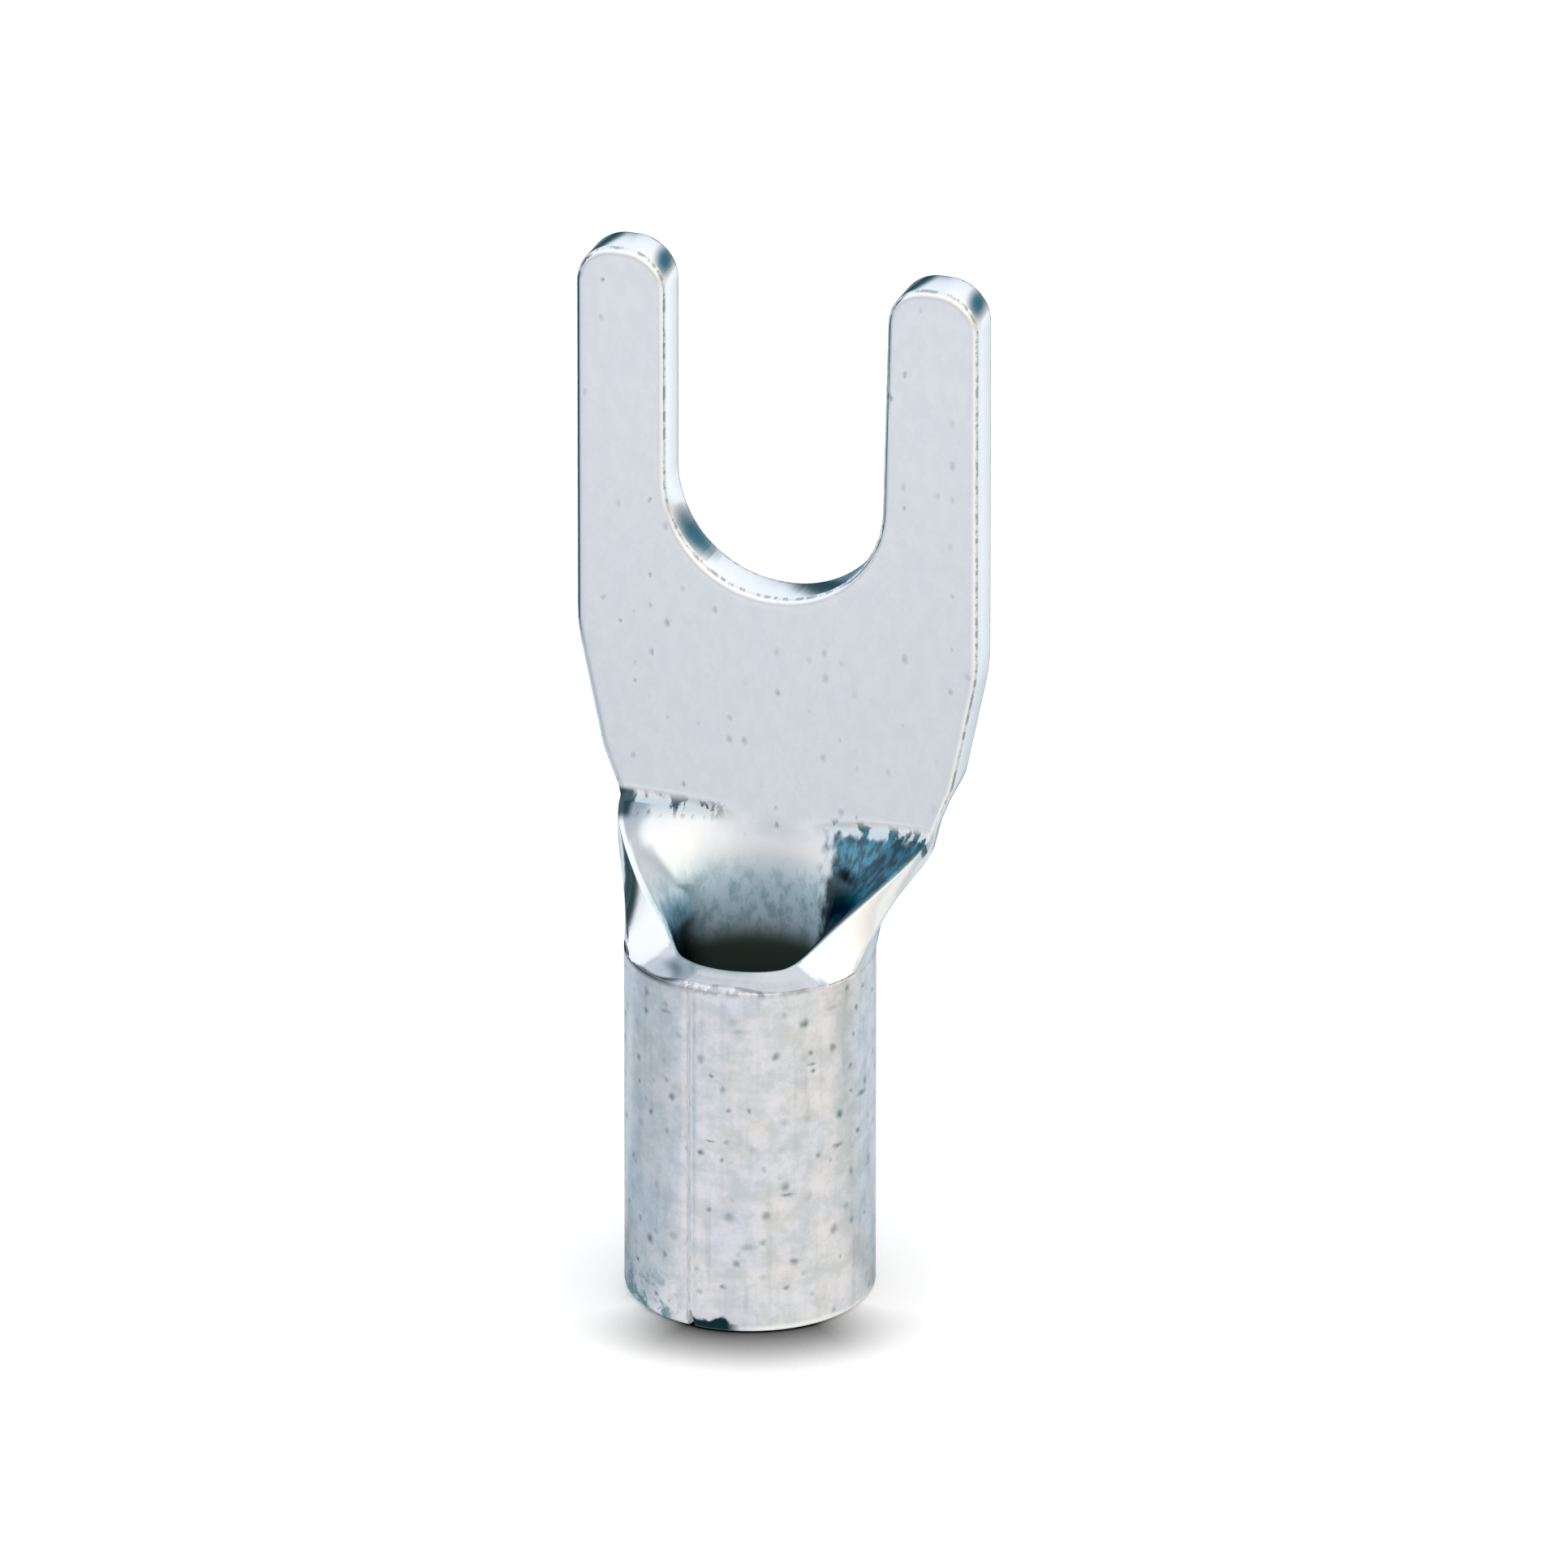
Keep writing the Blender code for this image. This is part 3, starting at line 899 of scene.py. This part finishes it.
# %% Gloss and relief
PALM_ROUGHNESS = 0.16
BARREL_ROUGHNESS = 0.3
WORKED_ROUGHNESS = 0.5
DULL_SHARE = 0.6
EDGE_TINT = colour("#C4CCD0")
WALL_EDGE_TINT = 0.8
PIT_DEPTH = 0.01
GRAIN_RELIEF = 0.25
PALM_RELIEF = 0.1
TROUGH_SIDES = [(-1.7, -1.0), (1.5, 0.9)]

worked = where(opened_face, *[(across, *step) for step in TROUGH_SIDES])
barrel_gloss = BARREL_ROUGHNESS - PALM_ROUGHNESS
worked_gloss = WORKED_ROUGHNESS - PALM_ROUGHNESS
rough = add(shade, MATH, barrel_skin, barrel_gloss, PALM_ROUGHNESS, operation="MULTIPLY_ADD")
rough = add(shade, MATH, worked, worked_gloss, rough, operation="MULTIPLY_ADD")
shade.links.new(rough, shader.inputs["Roughness"])
mirror = add(shade, MATH, worked, -DULL_SHARE, 1.0, operation="MULTIPLY_ADD")
shade.links.new(mirror, shader.inputs["Metallic"])
# On the right wall the edge tint is teal, part of its painted reflection
edge_tint = coat(EDGE_TINT, PALE_REFLECTED_TEAL, wall, WALL_EDGE_TINT)
shade.links.new(edge_tint, shader.inputs["Specular Tint"])

relief = where(grain, GRAIN_RELIEF, add(shade, MATH, barrel_skin, PALM_RELIEF, operation="MAXIMUM"))
relief = add(shade, MATH, relief, marks, operation="SUBTRACT")
bump = add(shade, "ShaderNodeBump", named={"Height": relief, "Distance": PIT_DEPTH * MM})
shade.links.new(bump, shader.inputs["Normal"])
print("nodes in the finish:", len(shade.nodes))

# %% [markdown]
# ## Roll it
#
# The modifier runs the tree once, and the result becomes a plain mesh. Its two wing ends now lie on
# each other and are welded, as the braze does. The weighted normals keep the flat faces flat up to
# their round edges.

# %% The rolled terminal
SEAM_WELD = 0.001 * MM

modifier = blank.modifiers.new("roll", "NODES")
modifier.node_group = roll
sockets = {s.name: s.identifier for s in roll.interface.items_tree if s.in_out == "INPUT"}
for name, size in ROLL_SIZES.items():
    modifier[sockets[name]] = size
modifier[sockets["Material"]] = tin
graph = bpy.context.evaluated_depsgraph_get()
rolled_mesh = bpy.data.meshes.new_from_object(blank.evaluated_get(graph))
bpy.data.objects.remove(blank)

shell = bmesh.new()
shell.from_mesh(rolled_mesh)
bmesh.ops.remove_doubles(shell, verts=shell.verts, dist=SEAM_WELD)
bmesh.ops.recalc_face_normals(shell, faces=shell.faces)
open_edges = sum(1 for e in shell.edges if len(e.link_faces) != 2)
shell.to_mesh(rolled_mesh)
shell.free()
rolled_mesh.shade_smooth()
print("faces:", len(rolled_mesh.polygons), "open edges:", open_edges)

# %% Put it in the model's place
terminal = bpy.data.objects.new("rolled_terminal", rolled_mesh)
bpy.context.scene.collection.objects.link(terminal)
normals = terminal.modifiers.new("weighted_normals", "WEIGHTED_NORMAL")
normals.use_face_influence = True
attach(terminal, "root")
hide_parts("fork_terminal")
print("size of the terminal in mm:", [round(side / MM, 2) for side in terminal.dimensions])

# %% [markdown]
# ## The studio floor
#
# The terminal stands on white paper. A mirror-like metal shows its surroundings, so they are half of
# its finish. Real ones would be paper cards all round, which would throw light and shadow on the floor
# as well. It is simpler to let the floor look different to the metal than to the camera: what the
# metal mirrors is drawn on the paper by bearing, which is the direction from the terminal in degrees,
# 0 to the front and 90 to the right, and every other ray sees plain paper.

# %% Floor
FLOOR_RADIUS = 90 * MM
FLOOR_SIDES = 96
PAPER = colour("#F4F4F4")
PAPER_ROUGHNESS = 0.9

floor_mesh = bpy.data.meshes.new("floor")
paper = bmesh.new()
bmesh.ops.create_circle(paper, cap_ends=True, segments=FLOOR_SIDES, radius=FLOOR_RADIUS)
paper.to_mesh(floor_mesh)
paper.free()
ground = bpy.data.objects.new("floor", floor_mesh)
bpy.context.scene.collection.objects.link(ground)

white_paper = bpy.data.materials.new("white_paper")
white_paper.use_nodes = True
floor_mesh.materials.append(white_paper)
paper_tree = white_paper.node_tree
paper_shader = paper_tree.nodes["Principled BSDF"]
paper_shader.inputs["Roughness"].default_value = PAPER_ROUGHNESS
paper_shader.inputs["Specular IOR Level"].default_value = 0.0
print("floor radius:", round(FLOOR_RADIUS / MM), "mm")

# %% [markdown]
# The bearing comes from the two floor coordinates by the arc tangent, and the distance is their
# length. A colour ramp then gives each bearing its colour, and one function makes such a ramp from a
# list of stops, since three are needed.

# %% Bearing and distance on the floor
on_floor = add(paper_tree, "ShaderNodeTexCoord", output="Object")
floor_axes = paper_tree.nodes.new("ShaderNodeSeparateXYZ")
paper_tree.links.new(on_floor, floor_axes.inputs[0])
frontward = add(paper_tree, MATH, floor_axes.outputs["Y"], -1.0, operation="MULTIPLY")
bearing = add(paper_tree, MATH, floor_axes.outputs["X"], frontward, operation="ARCTAN2")
bearing = add(
    paper_tree, RANGE, named={"Value": bearing, "From Min": -math.pi, "From Max": math.pi}
)
away = add(paper_tree, VECTOR, on_floor, operation="LENGTH", output="Value")


def by_bearing(stops):
    """A colour ramp over the bearing, from stops of degrees and a colour."""
    node = paper_tree.nodes.new("ShaderNodeValToRGB")
    elements = node.color_ramp.elements
    elements[0].color = colour(stops[0][1])
    elements[1].color = colour(stops[-1][1])
    for degrees, code in stops[1:-1]:
        elements.new(0.5 + degrees / 360).color = colour(code)
    paper_tree.links.new(bearing, node.inputs["Fac"])
    return node.outputs["Color"]


print("nodes in the paper so far:", len(paper_tree.nodes))

# %% [markdown]
# The ramp below is read off the metal. The palm mirrors the bearing of -20 degrees, the barrel one
# bearing after another from -160 at its left outline to 180 at its right one, and the faces cut at
# right angles to the palm mirror 160. So a grey from -98 to -50 is the barrel's shaded left flank, a
# warm white from 28 to 96 is its lit middle, and the bright stop past 150 whitens the cut edges.
# Farther out the floor gets brighter, and on the left a dark patch drawn on the paper, a painted
# reflection seen only in the metal, darkens the edge of the neck.

# %% What the metal mirrors of the floor
REFLECTED = [
    (-180, "#B0BABF"),
    (-166, "#6A95A6"),
    (-150, "#6A95A6"),
    (-140, "#F4FAFC"),
    (-114, "#F4FAFC"),
    (-98, "#B9C4CA"),
    (-50, "#B9C4CA"),
    (-36, "#D9DBDC"),
    (-20, "#DEDFE0"),
    (12, "#D8DADB"),
    (28, "#E1E1DC"),
    (96, "#E1E1DC"),
    (106, "#C6CAC6"),
    (116, "#C6CAC6"),
    (126, "#D6DEDF"),
    (143, "#DAE2E3"),
    (151, "#F8FAFC"),
    (172, "#F8FAFC"),
    (180, "#B0BABF"),
]
LEFT_DARK_SIDE = [
    (-180, "#000000"),
    (-118, "#000000"),
    (-110, "#FFFFFF"),
    (-70, "#FFFFFF"),
    (-62, "#000000"),
    (180, "#000000"),
]
LEFT_DARK_REFLECTION = colour("#1B3F45")
LEFT_DARK_FROM = 20 * MM
LEFT_DARK_FULL = 25 * MM
BRIGHTER_FROM = 20 * MM
BRIGHTER_UNTIL = 32 * MM
NEAR_LIGHT = 1.26
FAR_LIGHT = 1.38

# A painted reflection: a dark patch on the paper to the left, seen only in the metal
left_dark_reflection = add(paper_tree, RANGE, away, LEFT_DARK_FROM, LEFT_DARK_FULL)
left_dark_reflection = add(paper_tree, MATH, left_dark_reflection, by_bearing(LEFT_DARK_SIDE), operation="MULTIPLY")
seen_floor = {"Factor": left_dark_reflection, "A": by_bearing(REFLECTED), "B": LEFT_DARK_REFLECTION}
reflected = add(paper_tree, MIX, named=seen_floor, **COLOURS)
mirrored = add(paper_tree, "ShaderNodeLightPath", output="Is Glossy Ray")
floor_light = add(paper_tree, RANGE, away, BRIGHTER_FROM, BRIGHTER_UNTIL, NEAR_LIGHT, FAR_LIGHT)
floor_light = add(paper_tree, MATH, floor_light, mirrored, operation="MULTIPLY")
paper_tree.links.new(reflected, paper_shader.inputs["Emission Color"])
paper_tree.links.new(floor_light, paper_shader.inputs["Emission Strength"])
print("stops in the mirrored floor:", len(REFLECTED))

# %% [markdown]
# The photograph's light is so soft that the terminal throws no outline, only a small dark patch at its
# foot. A lamp could not give that without a second shadow from the palm. Ambient occlusion in the
# paper's colour paints it instead: a painted shadow that darkens the paper near the metal, and a
# power makes it fall off quickly. A ramp by bearing paints the patch deep toward us and faint
# elsewhere, as if the light came from behind the terminal.

# %% Contact shadow
CONTACT_REACH = 1.7 * MM
CONTACT_DEPTH = 3.5
SHADOW_SIDE = [
    (-180, "#303030"),
    (-46, "#303030"),
    (-12, "#FFFFFF"),
    (51, "#FFFFFF"),
    (85, "#303030"),
    (180, "#303030"),
]
NO_SHADOW = (1, 1, 1, 1)
NO_PAPER = (0, 0, 0, 1)

contact = paper_tree.nodes.new("ShaderNodeAmbientOcclusion")
contact.inputs["Distance"].default_value = CONTACT_REACH
contact = add(paper_tree, MATH, contact.outputs["AO"], CONTACT_DEPTH, operation="POWER")
# Painted shadow: deep toward the front, faint elsewhere, by bearing
deep = {"Factor": by_bearing(SHADOW_SIDE), "A": NO_SHADOW, "B": contact}
contact = add(paper_tree, MIX, named=deep, **COLOURS)
shaded_paper = add(paper_tree, VECTOR, PAPER[:3], contact, operation="MULTIPLY")
plain_or_mirrored = {"Factor": mirrored, "A": shaded_paper, "B": NO_PAPER}
paper_tone = add(paper_tree, MIX, named=plain_or_mirrored, **COLOURS)
paper_tree.links.new(paper_tone, paper_shader.inputs["Base Color"])
print("nodes in the paper:", len(paper_tree.nodes))

# %% [markdown]
# ## Light
#
# The world is the only light, an even white one, as a photographer's tent gives. To the metal it is a
# white that turns from cool on the left to warm on the right and gets brighter overhead, with three
# dark teal cards low in it. Two stand behind the terminal and give the slot's bottom and the round
# tips their dark ends, and the third, far on the left, is in the neck's left edge. The camera sees
# plain white.

# %% World as the metal sees it
COOL_WHITE = colour("#EDF3FA")
WARM_WHITE = colour("#FFFAF0")
TINT_SIDE = (0.9, -0.4, 0.0)
TINT_FROM = -0.5
TINT_UNTIL = 0.6
UP = (0, 0, 1)
HORIZON_LIGHT = 0.92
OVERHEAD_LIGHT = 1.28
OVERHEAD_FROM = 0.4
CARDS = [
    {"towards": (-0.99, -0.04, 0.12), "spread": 14, "softness": 4, "tint": "#17363A"},
    {"towards": (-0.5, 0.86, 0.06), "spread": 13, "softness": 5, "tint": "#1C5560"},
    {"towards": (0.45, 0.87, 0.17), "spread": 13, "softness": 6, "tint": "#2B6B7C"},
]

world = bpy.data.worlds.new("studio")
bpy.context.scene.world = world
world.use_nodes = True
sky = world.node_tree
sky.nodes.clear()
direction = add(sky, "ShaderNodeTexCoord", output="Generated")
direction = add(sky, VECTOR, direction, operation="NORMALIZE")
lean = add(sky, VECTOR, direction, TINT_SIDE, operation="DOT_PRODUCT", output="Value")
warmth = add(sky, RANGE, lean, TINT_FROM, TINT_UNTIL)
surround = add(sky, MIX, named={"Factor": warmth, "A": COOL_WHITE, "B": WARM_WHITE}, **COLOURS)
rise = add(sky, VECTOR, direction, UP, operation="DOT_PRODUCT", output="Value")
light = add(sky, RANGE, rise, 0.0, OVERHEAD_FROM, HORIZON_LIGHT, OVERHEAD_LIGHT)
for card in CARDS:
    facing = tuple(Vector(card["towards"]).normalized())
    near = add(sky, VECTOR, direction, facing, operation="DOT_PRODUCT", output="Value")
    outer = math.cos(math.radians(card["spread"] + card["softness"]))
    inner = math.cos(math.radians(card["spread"] - card["softness"]))
    cover = add(sky, RANGE, near, outer, inner)
    with_card = {"Factor": cover, "A": surround, "B": colour(card["tint"])}
    surround = add(sky, MIX, named=with_card, **COLOURS)
print("cards in the world:", len(CARDS))

# %% [markdown]
# The kind of ray picks the sky: what the metal mirrors, the even light that falls on everything, or
# the plain white behind the terminal. The light is at a level at which a colour renders about as it
# is written, and the Standard view transform leaves it so.

# %% World for every other ray
WORLD_LIGHT = 1.3
WHITE = (1, 1, 1, 1)

path = sky.nodes.new("ShaderNodeLightPath")
glossy_sky = add(sky, "ShaderNodeBackground", surround, light)
soft_sky = add(sky, "ShaderNodeBackground", WHITE, WORLD_LIGHT)
white_sky = add(sky, "ShaderNodeBackground", WHITE, 1.0)
seen = add(sky, "ShaderNodeMixShader", path.outputs["Is Glossy Ray"], soft_sky, glossy_sky)
seen = add(sky, "ShaderNodeMixShader", path.outputs["Is Camera Ray"], seen, white_sky)
add(sky, "ShaderNodeOutputWorld", seen)
bpy.context.scene.view_settings.view_transform = "Standard"
print("nodes in the world:", len(sky.nodes))
